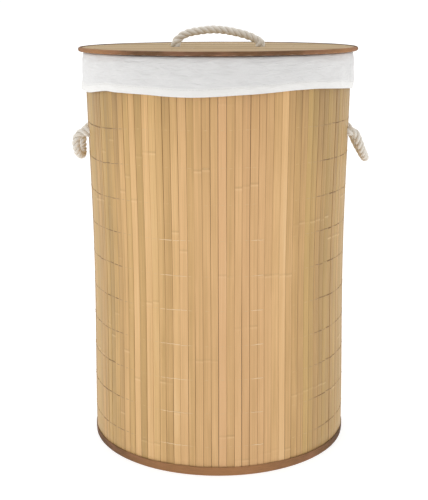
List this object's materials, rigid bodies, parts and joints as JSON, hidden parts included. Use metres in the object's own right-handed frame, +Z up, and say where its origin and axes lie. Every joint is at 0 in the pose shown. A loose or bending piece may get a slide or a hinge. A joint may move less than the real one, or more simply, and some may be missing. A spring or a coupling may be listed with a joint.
{
  "type": "laundry hamper",
  "caption": "Round bamboo-slat laundry hamper with a slatted lid, a removable cloth liner folded over the rim, and twisted rope handles.",
  "frame": {"origin": "centre of the ring that the hamper stands on, at floor level", "axes": "+Z up; X runs through the two side handles, -Y is the front and +Y is the back, where the slat sheet is joined"},
  "size_m": [0.4531, 0.4206, 0.6385],
  "materials": {
    "bamboo_slats": "satin",
    "bentwood": "matte",
    "fibreboard": "matte",
    "brown_tape": "matte",
    "backing_cloth": "matte",
    "liner_cotton": "matte",
    "cotton_rope": "matte",
    "steel_tack": "satin"
  },
  "bodies": {
    "hamper": {"base_hoop": "bentwood", "base_panel": "fibreboard", "base_tack_1": "steel_tack", "base_tack_2": "steel_tack", "base_tack_3": "steel_tack", "base_tack_4": "steel_tack", "base_tack_5": "steel_tack", "base_tack_6": "steel_tack", "bottom_tape": "brown_tape", "left_handle_knot_back": "cotton_rope", "left_handle_knot_front": "cotton_rope", "right_handle_knot_back": "cotton_rope", "right_handle_knot_front": "cotton_rope", "rim_tack_1": "steel_tack", "rim_tack_2": "steel_tack", "rim_tack_3": "steel_tack", "rim_tack_4": "steel_tack", "rim_tack_5": "steel_tack", "rim_tack_6": "steel_tack", "seam_batten": "bentwood", "slat_wall": "bamboo_slats", "top_hoop": "bentwood", "top_tape": "brown_tape", "wall_backing": "backing_cloth"},
    "liner": {"liner_cuff": "liner_cotton", "liner_floor": "liner_cotton", "liner_side": "liner_cotton"},
    "lid": {"lid_board": "fibreboard", "lid_handle_knot_left": "cotton_rope", "lid_handle_knot_right": "cotton_rope", "lid_lining": "backing_cloth", "lid_slats": "bamboo_slats", "lid_tape": "brown_tape"},
    "lid_handle": {"lid_handle_rope": "cotton_rope"},
    "left_handle": {"left_handle_rope": "cotton_rope"},
    "right_handle": {"right_handle_rope": "cotton_rope"}
  },
  "joints": [
    {"name": "liner_lift", "type": "slide", "parent": "hamper", "child": "liner", "axis": [0, 0, 1], "range_m": [0, 0.62]},
    {"name": "lid_lift", "type": "slide", "parent": "liner", "child": "lid", "axis": [0, 0, 1], "range_m": [0, 0.25]},
    {"name": "lid_handle_flop", "type": "hinge", "parent": "lid", "child": "lid_handle", "pos_m": [0, 0, 0.6137], "axis": [1, 0, 0], "range_deg": [-85, 85]},
    {"name": "left_handle_raise", "type": "hinge", "parent": "hamper", "child": "left_handle", "pos_m": [-0.20147, 0, 0.484], "axis": [0, 1, 0], "range_deg": [0, 120]},
    {"name": "right_handle_raise", "type": "hinge", "parent": "hamper", "child": "right_handle", "pos_m": [0.20147, 0, 0.484], "axis": [0, -1, 0], "range_deg": [0, 120]}
  ]
}
